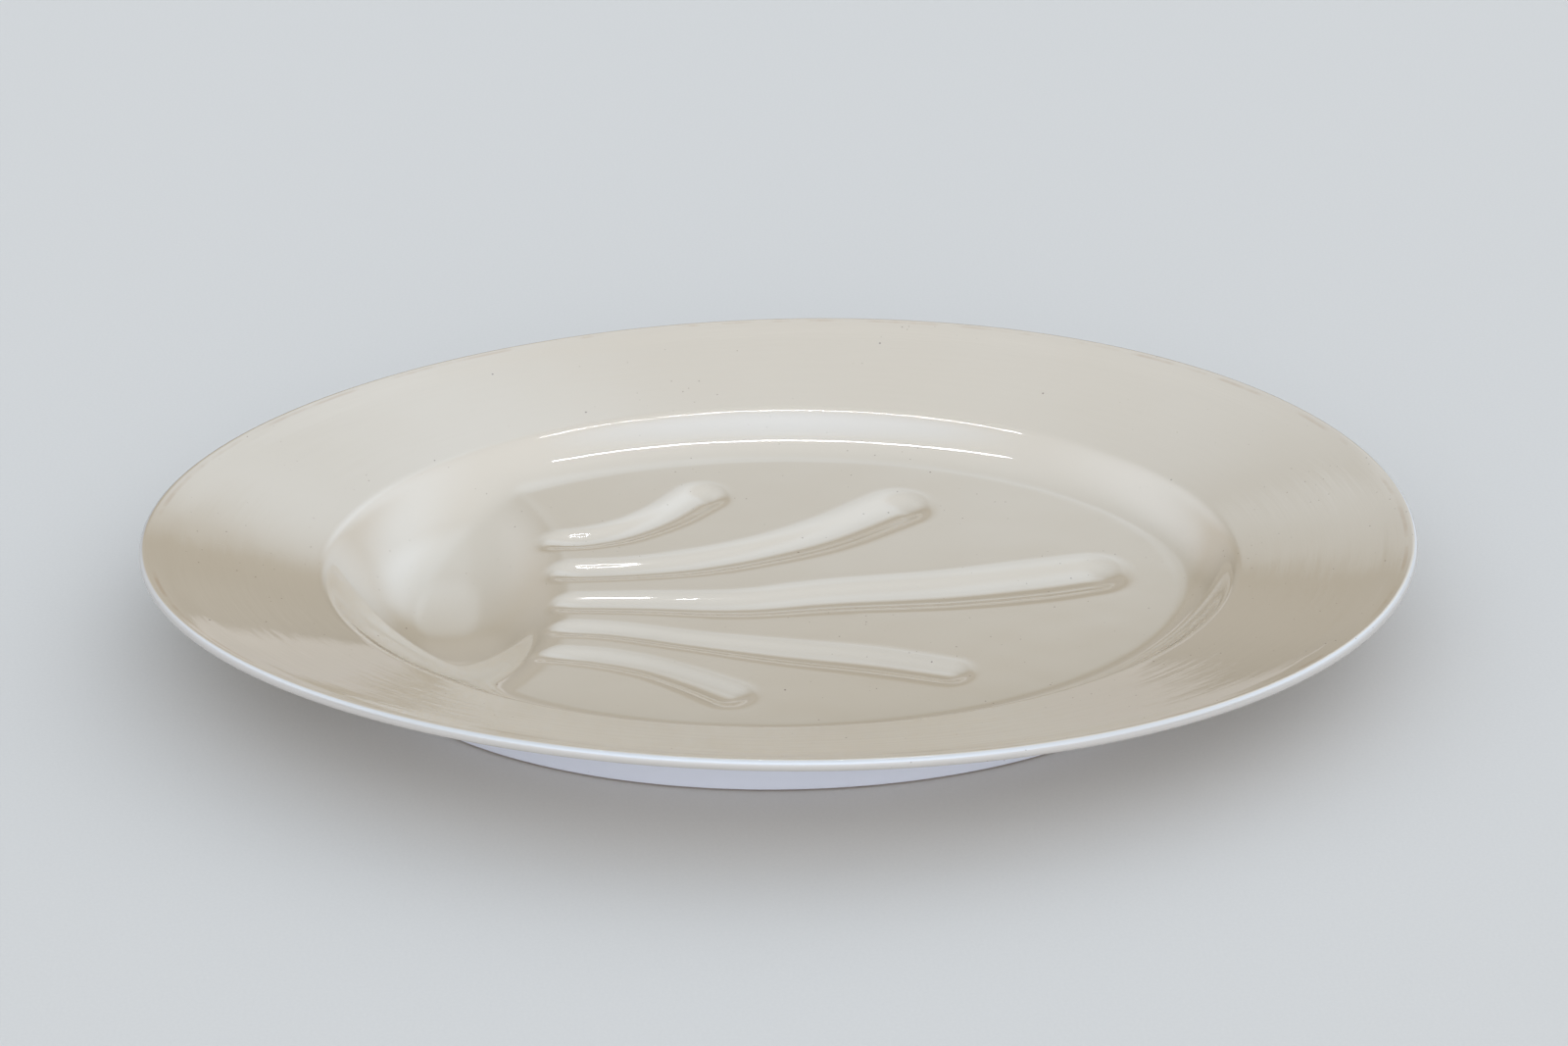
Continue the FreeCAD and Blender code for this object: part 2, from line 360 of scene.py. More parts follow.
@dataclass(frozen=True)
class Well:
    """The well of the dish, from the verge down the wall to the floor.

    The wall's foot is eased at the gravy well, more and more from easy_from to easy_to. The wall's slope is
    carried on over wall_span_shares, in runs of the wall from the floor's edge.
    """

    verge_half_length: float = 165 * MM
    verge_half_width: float = 119 * MM
    verge_height: float = 31.5 * MM
    verge_radius: float = 8 * MM
    verge_back_radius: float = 16 * MM
    floor_half_length: float = 154 * MM
    floor_half_width: float = 108 * MM
    floor_height: float = 18.5 * MM
    floor_thickness: float = 8 * MM
    floor_sag: float = 2.4 * MM
    sag_mean_share: float = 0.5
    sag_end_share: float = 1.1
    easy_from: Pair = (-80 * MM, 60 * MM)
    easy_to: Pair = (-125 * MM, 5 * MM)
    easy_radius: float = 40 * MM
    wall_thickness: float = 6 * MM
    wall_foot_radius: float = 27 * MM
    wall_span_shares: Pair = (-9.0, 4.0)
    base_radius: float = 2 * MM

    def floor_oval(self) -> Pair:
        """Half length and half width of the floor."""
        return self.floor_half_length, self.floor_half_width

    def verge_oval(self) -> Pair:
        """Half length and half width of the verge."""
        return self.verge_half_length, self.verge_half_width

    def base_height(self) -> float:
        """Height of the underside within the foot ring."""
        return self.floor_height - self.floor_thickness

    def sag(self, x: Heights, y: Heights) -> Heights:
        """How far the dished floor lies above its mean height: below nothing in the middle."""
        reach = (x / self.floor_half_length) ** 2 + (y / self.floor_half_width) ** 2
        return self.floor_sag * (np.clip(reach, 0, self.sag_end_share) - self.sag_mean_share)

    def wall_run(self) -> float:
        """How far out the wall runs from the floor to the verge."""
        return self.verge_half_length - self.floor_half_length

    def wall_slope(self) -> float:
        """Rise of the wall over its run."""
        return (self.verge_height - self.floor_height) / self.wall_run()

    def ease(self, x: Heights, y: Heights) -> Heights:
        """How far the wall's foot is eased: 1 at the gravy well's near end, 0 along the meat."""
        along = eased(x, self.easy_from[0], self.easy_to[0])
        return along * eased(y, self.easy_from[1], self.easy_to[1])

    def wall_heights(self, x: Heights, y: Heights) -> Heights:
        """Heights of the wall's own slope, carried on below the floor and above the verge."""
        share = oval_share(x, y, self.floor_oval(), self.verge_oval(), self.wall_span_shares)
        return self.verge_height - (1 - share) * self.wall_run() * self.wall_slope()

    def foot_reach(self, x: Heights, y: Heights) -> Heights:
        """The reach that rolls the wall into the floor and into the gravy well.

        Args:
            x: Places along the platter.
            y: Places across the platter.

        Returns:
            The reach at each point.
        """
        plain = rounding_reach(self.wall_foot_radius, self.wall_slope())
        easy = rounding_reach(self.easy_radius, self.wall_slope())
        return plain + (easy - plain) * self.ease(x, y)


@dataclass(frozen=True)
class GravyWell:
    """The bowl at the left end, which climbs to the floor on one side and meets the wall on the others.

    Its spans run from the lowest point out to where the bowl comes up to the floor's height.
    """

    lowest: Pair = (-115.5 * MM, -7 * MM)
    floor_span: float = 34 * MM
    wall_span: float = 85 * MM
    near_span: float = 67 * MM
    far_span: float = 85 * MM
    depth: float = 11 * MM
    shoulder_radius: float = 22 * MM
    underside_thickness: float = 4.5 * MM

    def heights(self, x: Heights, y: Heights, floor_height: float, lowered: float = 0.0) -> Heights:
        """Heights of the bowl, which runs on upwards past the floor.

        Args:
            x: Places along the platter.
            y: Places across the platter.
            floor_height: Height of the platter's floor.
            lowered: How far the bowl is sunk and widened, for the underside.

        Returns:
            The heights of the bowl.
        """
        along = x - self.lowest[0]
        across = y - self.lowest[1]
        along = along / (np.where(along > 0, self.floor_span, self.wall_span) + lowered)
        across = across / (np.where(across > 0, self.far_span, self.near_span) + lowered)
        depth = self.depth + lowered
        return floor_height - depth + depth * (along ** 2 + across ** 2)

    def shoulder_reach(self) -> float:
        """The reach that rolls the floor over into the bowl."""
        return rounding_reach(self.shoulder_radius, 2 * self.depth / self.floor_span)


@dataclass(frozen=True)
class Channel:
    """One juice channel, from the gravy well to its round far end.

    Each station holds three shares: of the floor's half length, of its half width, and of the width.
    """

    station_shares: tuple[tuple[float, float, float], ...]
    depth: float
    width: float = 24 * MM
    shoulder_share: float = 0.45
    fading_share: float = 0.8
    end_depth_share: float = 0.72
    mouth_from: float = -94 * MM
    mouth_to: float = -72 * MM
    mouth_depth_share: float = 0.4
    margin_widths: float = 1.5
    course_points: int = 240

    def course(self, well: Well) -> tuple[np.ndarray, np.ndarray]:
        """The channel's middle line.

        Args:
            well: The well whose floor the channel crosses.

        Returns:
            Points down the channel's middle, and the channel's width at each.
        """
        along, across, widths = np.array(self.station_shares).T
        knots = np.arange(len(self.station_shares), dtype=float)
        fine = np.linspace(0, knots[-1], self.course_points)
        places = np.stack([smooth_through(knots, along * well.floor_half_length, fine),
                           smooth_through(knots, across * well.floor_half_width, fine)], axis=1)
        return places, smooth_through(knots, widths * self.width, fine)

    def depths(self, x: Heights, widths: Heights, run_shares: Heights) -> Heights:
        """How deep the channel is, shallow at its mouth and less deep again towards its end.

        Args:
            x: Places along the platter.
            widths: The channel's width there.
            run_shares: The share of its course run by then.

        Returns:
            The depths.
        """
        fading = eased(run_shares, 1 - self.fading_share, 1)
        opening = eased(x, self.mouth_from, self.mouth_to)
        depths = self.depth * widths / self.width * (1 - (1 - self.end_depth_share) * fading)
        return depths * (self.mouth_depth_share + (1 - self.mouth_depth_share) * opening)

    def press(self, heights: Heights, x: Heights, y: Heights, well: Well) -> Heights:
        """The floor's heights with this channel pressed in.

        Args:
            heights: The heights so far.
            x: Places along the platter.
            y: Places across the platter.
            well: The well whose floor the channel crosses.

        Returns:
            The heights with the channel.
        """
        places, course_widths = self.course(well)
        margin = course_widths.max() * self.margin_widths
        low, high = places.min(axis=0) - margin, places.max(axis=0) + margin
        near = (x > low[0]) & (x < high[0]) & (y > low[1]) & (y < high[1])
        spots = np.stack([x[near], y[near]], axis=1)
        distances, widths, run_shares = nearest_on_course(spots, places, course_widths)
        depths = self.depths(x[near], widths, run_shares)
        steepest = 2 * np.arctan(2 * depths / widths)
        slope = np.tan(steepest)
        radii = widths / 2 / np.sin(steepest)
        hollow = radii * (1 - self.shoulder_share)
        flank_start = hollow * np.sin(steepest)
        inside = np.minimum(distances, flank_start)
        round_part = hollow - np.sqrt(np.maximum(hollow ** 2 - inside ** 2, 0))
        straight_part = np.maximum(distances - flank_start, 0) * slope
        groove = well.floor_height - depths + round_part + straight_part
        reach = rounding_reach(radii * self.shoulder_share, slope)
        pressed = heights.copy()
        pressed[near] = joined(heights[near], groove, reach, Rounding.CROWNED)
        return pressed


# The channels, from the far side of the platter to the near side
CHANNELS = (
    Channel(((-0.67, 0.345, 0.70), (-0.55, 0.355, 0.72), (-0.45, 0.377, 0.77), (-0.355, 0.432, 0.84),
             (-0.26, 0.535, 0.95), (-0.18, 0.665, 1.04)), depth=4.0 * MM),
    Channel(((-0.67, 0.143, 0.72), (-0.52, 0.143, 0.78), (-0.355, 0.157, 0.80), (-0.195, 0.196, 0.93),
             (-0.03, 0.274, 1.03), (0.13, 0.386, 1.18), (0.305, 0.565, 1.28)), depth=3.4 * MM),
    Channel(((-0.67, -0.079, 0.63), (-0.52, -0.077, 0.70), (-0.325, -0.081, 0.80), (-0.095, -0.095, 0.97),
             (0.13, -0.053, 1.16), (0.39, -0.030, 1.31), (0.60, 0.012, 1.42), (0.74, 0.049, 1.38)),
            depth=3.15 * MM),
    Channel(((-0.67, -0.245, 0.58), (-0.52, -0.254, 0.60), (-0.39, -0.275, 0.61), (-0.195, -0.355, 0.68),
             (0.0, -0.430, 0.86), (0.20, -0.502, 0.93), (0.37, -0.588, 0.88)), depth=3.0 * MM),
    Channel(((-0.67, -0.425, 0.55), (-0.545, -0.430, 0.60), (-0.44, -0.452, 0.65), (-0.325, -0.512, 0.71),
             (-0.227, -0.600, 0.81), (-0.133, -0.705, 0.93)), depth=3.0 * MM),
)


class Modeller:
    """Edit-mode work on one piece, ring by ring, as by hand."""

    def __init__(self, name: str) -> None:
        """Starts a piece of that name with nothing selected.

        Args:
            name: The piece's name.
        """
        self.name = name
        self.piece: bpy.types.Object | None = None
        bpy.ops.object.select_all(action="DESELECT")

    def take_new(self) -> np.ndarray:
        """Takes the primitive just added as the piece.

        Returns:
            The places of its points.
        """
        self.piece = bpy.context.object
        self.piece.name = self.name
        return self.places()

    def start_disc(self, cells: tuple[int, int], ring: Ring) -> None:
        """Adds a grid and draws it out to an oval disc, with no pole in its middle.

        Args:
            cells: Cells of the grid along the platter and across it.
            ring: The disc's edge. Its height at the end holds all round.
        """
        bpy.ops.mesh.primitive_grid_add(x_subdivisions=cells[0], y_subdivisions=cells[1], size=2)
        places = self.take_new()
        along, across = places[:, 0].copy(), places[:, 1].copy()
        reach = np.maximum(np.abs(along), np.abs(across))
        lengthwise = np.abs(along) >= np.abs(across)
        major = np.where(lengthwise, along, across)
        minor = np.where(lengthwise, across, along)
        divisor = np.where(major == 0, 1, major)
        turn = np.where(reach > 0, minor / divisor, 0) * math.pi / 4
        main = np.sign(divisor) * reach * np.cos(turn)
        side = np.sign(divisor) * reach * np.sin(turn)
        places[:, 0] = np.where(lengthwise, main, side) * ring.half_length
        places[:, 1] = np.where(lengthwise, side, main) * ring.half_width
        places[:, 2] = ring.end_height
        self.set_places(places)

    def start_ring(self, count: int, ring: Ring) -> None:
        """Adds a circle and draws it out to a ring.

        Args:
            count: The number of points in the circle.
            ring: The ring. Its height at the end holds all round.
        """
        bpy.ops.mesh.primitive_circle_add(vertices=count, radius=1)
        places = self.take_new()
        places[:, 0] *= ring.half_length
        places[:, 1] *= ring.half_width
        places[:, 2] = ring.end_height
        self.set_places(places)

    def places(self) -> np.ndarray:
        """The places of all points of the piece.

        Returns:
            The places, as rows of three.
        """
        flat = np.empty(len(self.piece.data.vertices) * 3)
        self.piece.data.vertices.foreach_get("co", flat)
        return flat.reshape(-1, 3)

    def set_places(self, places: np.ndarray) -> None:
        """Moves all points of the piece."""
        self.piece.data.vertices.foreach_set("co", places.ravel())
        self.piece.data.update()

    def keep(self, name: str, values: np.ndarray) -> None:
        """Keeps a value at each point of the piece, for its material to read."""
        attribute = self.piece.data.attributes.new(name, "FLOAT", "POINT")
        attribute.data.foreach_set("value", values.astype(np.float32))

    @contextmanager
    def editing(self, picked: Picked) -> Iterator[None]:
        """Edit mode on the piece for the length of a block.

        Args:
            picked: What the block starts with selected.

        Yields:
            Nothing. The piece is back in object mode after the block.
        """
        bpy.context.view_layer.objects.active = self.piece
        bpy.ops.object.mode_set(mode="EDIT")
        bpy.ops.mesh.select_mode(type="EDGE")
        bpy.ops.mesh.select_all(action=picked.value)
        if picked is Picked.OPEN_EDGES:
            bpy.ops.mesh.select_non_manifold()
        try:
            yield
        finally:
            bpy.ops.object.mode_set(mode="OBJECT")

    def draw_out(self, start: Ring, rings: list[Ring]) -> None:
        """Extrudes the open edge from ring to ring, scaling and lifting it each time.

        Args:
            start: The ring that the open edge lies on.
            rings: The rings to reach, in order.
        """
        last = start
        with self.editing(Picked.OPEN_EDGES):
            for ring in rings:
                bpy.ops.mesh.extrude_edges_move()
                scale = (ring.half_length / last.half_length, ring.half_width / last.half_width, 1)
                bpy.ops.transform.resize(value=scale, center_override=(0, 0, 0))
                bpy.ops.transform.translate(value=(0, 0, ring.end_height - last.end_height))
                last = ring

    def bridge_open_edges(self) -> None:
        """Joins the two open edges of the piece with faces."""
        with self.editing(Picked.OPEN_EDGES):
            bpy.ops.mesh.bridge_edge_loops()

    def weld_edges(self, reach: float) -> None:
        """Welds open edges that lie on each other, within a small reach."""
        with self.editing(Picked.OPEN_EDGES):
            bpy.ops.mesh.remove_doubles(threshold=reach)

    def face_up(self) -> None:
        """Turns the faces of a flat piece upwards."""
        if self.piece.data.polygons[0].normal.z < 0:
            with self.editing(Picked.ALL):
                bpy.ops.mesh.flip_normals()

    def join(self, other: "Modeller") -> None:
        """Takes another piece into this one.

        Args:
            other: The modeller that holds the other piece.
        """
        bpy.ops.object.select_all(action="DESELECT")
        other.piece.select_set(True)
        self.piece.select_set(True)
        bpy.context.view_layer.objects.active = self.piece
        bpy.ops.object.join()

    def finish(self) -> bpy.types.Object:
        """Turns all faces outwards and smooths the shading.

        Returns:
            The finished piece.
        """
        with self.editing(Picked.ALL):
            bpy.ops.mesh.normals_make_consistent(inside=False)
        bpy.ops.object.select_all(action="DESELECT")
        self.piece.select_set(True)
        bpy.ops.object.shade_smooth()
        self.piece.data.name = self.name
        return self.piece


@dataclass(frozen=True)
class Dish:
    """The dish: rim, well, channels and gravy well in one sheet of clay.

    Its ring runs give the rings from the floor's disc out to the lip, close together at the roundings:
    the share of the way that each run starts and ends at, and the rings in it. The verge's rounding starts
    at turned_from_share, in runs of the rim from the verge.
    """

    rim: Rim
    well: Well
    gravy_well: GravyWell
    channels: tuple[Channel, ...]
    cells: tuple[int, int] = (130, 190)
    disc_share: float = 0.93
    ring_run_shares: tuple[tuple[float, float, int], ...] = ((0, 0.26, 17), (0.26, 0.42, 11), (0.42, 1.0, 7))
    rim_span_shares: Pair = (-1.0, 1.5)
    turned_from_share: float = -0.3
    corner_steps: int = 7
    straight_parts: int = 3
    underside_ring: int = 3
    weld_reach: float = 0.01 * MM

    def rim_slope(self) -> float:
        """Rise of the rim over its run, at the platter's ends."""
        run = self.rim.half_length - self.well.verge_half_length
        return (self.rim.height - self.well.verge_height) / run

    def top_heights(self, x: Heights, y: Heights) -> Heights:
        """Heights of the eating side, from the middle of the floor out to the lip.

        Args:
            x: Places along the platter.
            y: Places across the platter.

        Returns:
            The heights at those places.
        """
        rim, well = self.rim, self.well
        hollow = self.gravy_well.heights(x, y, well.floor_height)
        floor = joined(hollow, well.floor_height, self.gravy_well.shoulder_reach(), Rounding.CROWNED)
        for channel in self.channels:
            floor = channel.press(floor, x, y, well)
        floor = floor + well.sag(x, y)
        inside = joined(well.wall_heights(x, y), floor, well.foot_reach(x, y), Rounding.HOLLOW)
        share = oval_share(x, y, well.verge_oval(), rim.lip_oval(), self.rim_span_shares)
        rising = well.verge_height + (rim.height - well.verge_height) * share + rim.warp(x, y, share)
        verge_reach = rounding_reach(well.verge_radius, well.wall_slope(), self.rim_slope())
        turned = joined(inside, rising, verge_reach, Rounding.CROWNED)
        return np.where(share > self.turned_from_share, turned, inside)

    def base_heights(self, x: Heights, y: Heights) -> Heights:
        """Heights of the underside within the foot ring, with the gravy well standing proud of it.

        Args:
            x: Places along the platter.
            y: Places across the platter.

        Returns:
            The heights at those places.
        """
        well = self.well
        thickness = self.gravy_well.underside_thickness
        hollow = self.gravy_well.heights(x, y, well.floor_height, thickness)
        wall = well.wall_heights(x, y) - thickness * math.hypot(1, well.wall_slope())
        wall_reach = rounding_reach(well.wall_foot_radius, well.wall_slope())
        bulge = joined(wall, hollow, wall_reach, Rounding.HOLLOW)
        return joined(bulge, well.base_height(), self.gravy_well.shoulder_reach(), Rounding.CROWNED)

    def section(self, half_span: float, verge_half_span: float, floor_half_span: float) -> list[Corner]:
        """The corners of the section from the rim's upper face round the lip to the base.

        Args:
            half_span: Half the platter's length or width.
            verge_half_span: Half the verge's.
            floor_half_span: Half the floor's.

        Returns:
            The verge, the lip's two corners, the verge's back, the base's edge and the base's middle.
        """
        rim, well = self.rim, self.well
        verge = Corner(verge_half_span, well.verge_height)
        floor = Corner(floor_half_span, well.floor_height)
        base_middle = Corner(0, well.base_height())
        run, rise = heading(verge, Corner(half_span, rim.height))
        rounded_off = rim.lip_radius * (run + rise - 1)
        lip_high = Corner(half_span + rounded_off - rim.lip_thickness * rise, rim.height + rounded_off)
        lip_low = beside(lip_high, (run, rise), rim.lip_thickness)
        wall = heading(verge, floor)
        wall_back = beside(floor, wall, -well.wall_thickness)
        rim_back = beside(verge, heading(verge, lip_high), rim.thickness)
        verge_back = meeting(wall_back, wall, rim_back, heading(lip_low, rim_back))
        base = meeting(wall_back, wall, base_middle, (1, 0))
        return [verge, lip_high._replace(radius=rim.lip_radius), lip_low._replace(radius=rim.lip_radius),
                verge_back._replace(radius=well.verge_back_radius), base._replace(radius=well.base_radius),
                base_middle]

    def end_section(self) -> list[Corner]:
        """The section at the platter's end."""
        return self.section(self.rim.half_length, self.well.verge_half_length, self.well.floor_half_length)

    def side_section(self) -> list[Corner]:
        """The section at the platter's side."""
        return self.section(self.rim.half_width, self.well.verge_half_width, self.well.floor_half_width)

    def inner_rings(self, disc: Ring, lip: Ring) -> list[Ring]:
        """Rings from the edge of the floor's disc out to the lip, level until the eating side is shaped.

        Args:
            disc: The edge of the disc.
            lip: The first ring of the lip, which isn't repeated.

        Returns:
            The rings between the two.
        """
        runs = [np.linspace(start, end, count + 1)[1:] for start, end, count in self.ring_run_shares]
        rings = []
        for share in np.concatenate(runs)[:-1]:
            half_length = disc.half_length + (lip.half_length - disc.half_length) * share
            half_width = disc.half_width + (lip.half_width - disc.half_width) * share
            rings.append(Ring(half_length, disc.end_height, half_width, disc.end_height))
        return rings

    def build(self, name: str) -> bpy.types.Object:
        """Models the dish.

        Args:
            name: The piece's name.

        Returns:
            The dish.
        """
        well = self.well
        outer = section_rings(self.end_section(), self.side_section(), self.corner_steps, self.straight_parts)
        disc = Ring(well.floor_half_length * self.disc_share, well.floor_height,
                    well.floor_half_width * self.disc_share, well.floor_height)
        inner = self.inner_rings(disc, outer[0])
        modeller = Modeller(name)
        modeller.start_disc(self.cells, disc)
        modeller.draw_out(disc, inner + outer)
        places = modeller.places()
        boundary = 2 * sum(self.cells)
        top_count = (self.cells[0] + 1) * (self.cells[1] + 1) + boundary * len(inner)
        top = places[:top_count]
        top[:, 2] = self.top_heights(top[:, 0], top[:, 1])
        self.shape_outer(places[top_count:], outer, boundary)
        modeller.set_places(places)
        self.close_base(modeller, outer[-1])
        underside = np.zeros(len(modeller.piece.data.vertices))
        underside[top_count + boundary * self.underside_ring:] = 1
        modeller.keep("underside", underside)
        return modeller.finish()

    def shape_outer(self, places: np.ndarray, rings: list[Ring], boundary: int) -> None:
        """Adds the kiln's warp and the ovals' own rise to the rings round the lip and underneath.

        Args:
            places: The points of those rings, ring after ring.
            rings: The rings.
            boundary: The number of points in each.
        """
        verge = self.well.verge_half_length
        for index, ring in enumerate(rings):
            part = places[index * boundary:(index + 1) * boundary]
            along, across = part[:, 0] / ring.half_length, part[:, 1] / ring.half_width
            side_part = across ** 2 / (along ** 2 + across ** 2)
            share = (ring.half_length - verge) / (self.rim.half_length - verge)
            lifted = self.rim.warp(along * self.rim.half_length, across * self.rim.half_width,
                                   np.full(len(part), share))
            part[:, 2] = ring.end_height + (ring.side_height - ring.end_height) * side_part + lifted

    def close_base(self, modeller: Modeller, edge: Ring) -> None:
        """Closes the dish underneath with a disc that carries the gravy well's bulge.

        The edges are welded where they lie on each other. Next to the gravy well the disc's edge lies up to
        0.22 mm lower and stays unwelded, inside the foot's clay.

        Args:
            modeller: The modeller at work on the dish.
            edge: The dish's open edge.
        """
        base = Modeller("base_disc")
        base.start_disc(self.cells, edge)
        places = base.places()
        places[:, 2] = self.base_heights(places[:, 0], places[:, 1])
        base.set_places(places)
        modeller.join(base)
        modeller.weld_edges(self.weld_reach)

    def dress(self, piece: bpy.types.Object, glaze: bpy.types.Material) -> None:
        """Gives the dish its glaze and its place in the frame."""
        dress(piece, glaze, "dish_body")


@dataclass(frozen=True)
class FootRing:
    """The oval foot that the platter stands on, with its clay rolled into the dish's underside."""

    half_length: float = 154.5 * MM
    half_width: float = 110.5 * MM
    edge_width: float = 4.5 * MM
    edge_radius: float = 1.2 * MM
    outer_cove: float = 5 * MM
    inner_cove: float = 4 * MM
    inner_flare: float = 2.6 * MM
    sunk: float = 0.25 * MM
    cove_run: float = 2.4 * MM
    cover: float = 1.5 * MM
    points: int = 480
    corner_steps: int = 6
    straight_parts: int = 3

    def edge_middle(self) -> Pair:
        """Half length and half width of the line down the middle of the resting edge."""
        return self.half_length - self.edge_width / 2, self.half_width - self.edge_width / 2

    def section(self, half_span: float, dish_section: list[Corner]) -> list[Corner]:
        """The corners of the foot's section, starting and ending inside the dish's base.

        Args:
            half_span: Half the foot's length or width.
            dish_section: The corners of the dish's section at the same place.

        Returns:
            The inner joint, the inner top, the edge's two corners, the outer top and the outer joint,
            with the last put before them and the first after them, to close the section.
        """
        verge_back, base = dish_section[-3:-1]
        up_wall = heading(base, verge_back)
        on_wall = Corner(base.out + up_wall[0] * self.cove_run, base.height + up_wall[1] * self.cove_run)
        outer_joint = beside(on_wall, up_wall, -self.sunk)
        inner = half_span - self.edge_width
        inner_top = Corner(inner - self.inner_flare, base.height, self.inner_cove)
        inner_joint = Corner(inner_top.out - self.cove_run, base.height + self.sunk)
        corners = [inner_joint, inner_top,
                   Corner(inner, 0, self.edge_radius), Corner(half_span, 0, self.edge_radius),
                   Corner(base.out, base.height, self.outer_cove), outer_joint]
        return [outer_joint, *corners, inner_joint]

    def build(self, name: str, dish: Dish) -> bpy.types.Object:
        """Models the foot ring.

        Args:
            name: The piece's name.
            dish: The dish that it is luted to.

        Returns:
            The foot ring.
        """
        end = self.section(self.half_length, dish.end_section())
        side = self.section(self.half_width, dish.side_section())
        rings = section_rings(end, side, self.corner_steps, self.straight_parts)
        modeller = Modeller(name)
        modeller.start_ring(self.points, rings[0])
        modeller.draw_out(rings[0], rings[1:])
        modeller.bridge_open_edges()
        places = modeller.places()
        for index, ring in enumerate(rings):
            part = places[index * self.points:(index + 1) * self.points]
            side_part = (part[:, 1] / ring.half_width) ** 2
            part[:, 2] = ring.end_height + (ring.side_height - ring.end_height) * side_part
        roof = dish.top_heights(places[:, 0], places[:, 1]) - self.cover
        places[:, 2] = np.minimum(places[:, 2], roof)
        modeller.set_places(places)
        return modeller.finish()

    def dress(self, piece: bpy.types.Object, glaze: bpy.types.Material) -> None:
        """Gives the foot ring its glaze, tinted with painted cool shade, and its place in the frame."""
        dress(piece, glaze, "foot_ring")


def dress(piece: bpy.types.Object, material: bpy.types.Material, node: str) -> None:
    """Gives a piece its material and its place in the frame, and logs it.

    Args:
        piece: The piece.
        material: Its material.
        node: The frame's node that it stands for.
    """
    piece.data.materials.clear()
    piece.data.materials.append(material)
    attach(piece, "root")
    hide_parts(node)
    LOG.info("%s: %d points, %d faces", piece.name, len(piece.data.vertices), len(piece.data.polygons))


class NodeSheet:
    """A short way to add and wire the nodes of one material, group or world."""

    def __init__(self, tree: bpy.types.NodeTree) -> None:
        """Empties a tree, to draw on it.

        Args:
            tree: The node tree of a material, a group or a world.
        """
        self.tree = tree
        tree.nodes.clear()

    def add(self, kind: str, inputs: dict | None = None, **settings: object) -> Node:
        """Adds a node.

        Args:
            kind: The node's type name.
            inputs: Values or output sockets for its inputs, by name or number.
            settings: Properties to set on it first.

        Returns:
            The node.
        """
        node = self.tree.nodes.new(kind)
        for name, value in settings.items():
            setattr(node, name, value)
        for key, value in (inputs or {}).items():
            if isinstance(value, Socket):
                self.tree.links.new(value, node.inputs[key])
            else:
                node.inputs[key].default_value = value
        return node

    def math(self, operation: str, first: object, second: object = 0.0) -> Socket:
        """The result of a Math node on two values or sockets."""
        return self.add("ShaderNodeMath", {0: first, 1: second}, operation=operation).outputs[0]

    def ramp(self, value: Socket, low: float, high: float) -> Socket:
        """A smooth step of a value, from 0 at low to 1 at high."""
        inputs = {"Value": value, "From Min": low, "From Max": high}
        return self.add("ShaderNodeMapRange", inputs, interpolation_type="SMOOTHSTEP").outputs["Result"]

    def noise(self, place: Socket, scale: float, detail: float) -> Socket:
        """A noise over the places, from 0 to 1."""
        return self.add("ShaderNodeTexNoise", {"Vector": place, "Scale": scale, "Detail": detail}).outputs[0]

    def mix(self, share: object, first: object, second: object) -> Socket:
        """A mix of two colours."""
        return self.add("ShaderNodeMix", {0: share, 6: first, 7: second}, data_type="RGBA").outputs[2]


def node_group(name: str, inputs: dict[str, str], outputs: dict[str, str]) -> tuple[NodeSheet, Node, Node]:
    """Starts a shader node group.

    Args:
        name: The group's name.
        inputs: Its inputs, each name with its socket type.
        outputs: Its outputs, each name with its socket type.

    Returns:
        The sheet to draw on, the group's input node and its output node.
    """
    tree = bpy.data.node_groups.new(name, "ShaderNodeTree")
    for way, sockets in (("INPUT", inputs), ("OUTPUT", outputs)):
        for label, kind in sockets.items():
            tree.interface.new_socket(label, in_out=way, socket_type=kind)
    sheet = NodeSheet(tree)
    return sheet, sheet.add("NodeGroupInput"), sheet.add("NodeGroupOutput")


def make_pinhole_group() -> bpy.types.NodeTree:
    """Makes the group of the dark pinholes of iron in a glaze, as a mask of few small round dots.

    Returns:
        The group.
    """
    least_size, dot_edge, dot_core = 0.35, 1.0, 0.5
    sheet, given, result = node_group(
        "glaze_pinholes",
        {"Place": "NodeSocketVector", "Spacing": "NodeSocketFloat", "Dot Size": "NodeSocketFloat",
         "Rareness": "NodeSocketFloat"},
        {"Mask": "NodeSocketFloat"})
    scale = sheet.math("DIVIDE", 1.0, given.outputs["Spacing"])
    cells = sheet.add("ShaderNodeTexVoronoi", {"Vector": given.outputs["Place"], "Scale": scale})
    parts = sheet.add("ShaderNodeSeparateColor", {0: cells.outputs["Color"]})
    chance = sheet.ramp(parts.outputs[0], 0.0, 1.0)
    kept = sheet.math("GREATER_THAN", parts.outputs[1], given.outputs["Rareness"])
    size = sheet.math("DIVIDE", given.outputs["Dot Size"], given.outputs["Spacing"])
    size = sheet.math("MULTIPLY", size, sheet.math("ADD", chance, least_size))
    near = sheet.math("DIVIDE", cells.outputs["Distance"], size)
    dot = sheet.ramp(near, dot_edge, dot_core)
    sheet.tree.links.new(sheet.math("MULTIPLY", dot, kept), result.inputs["Mask"])
    return sheet.tree


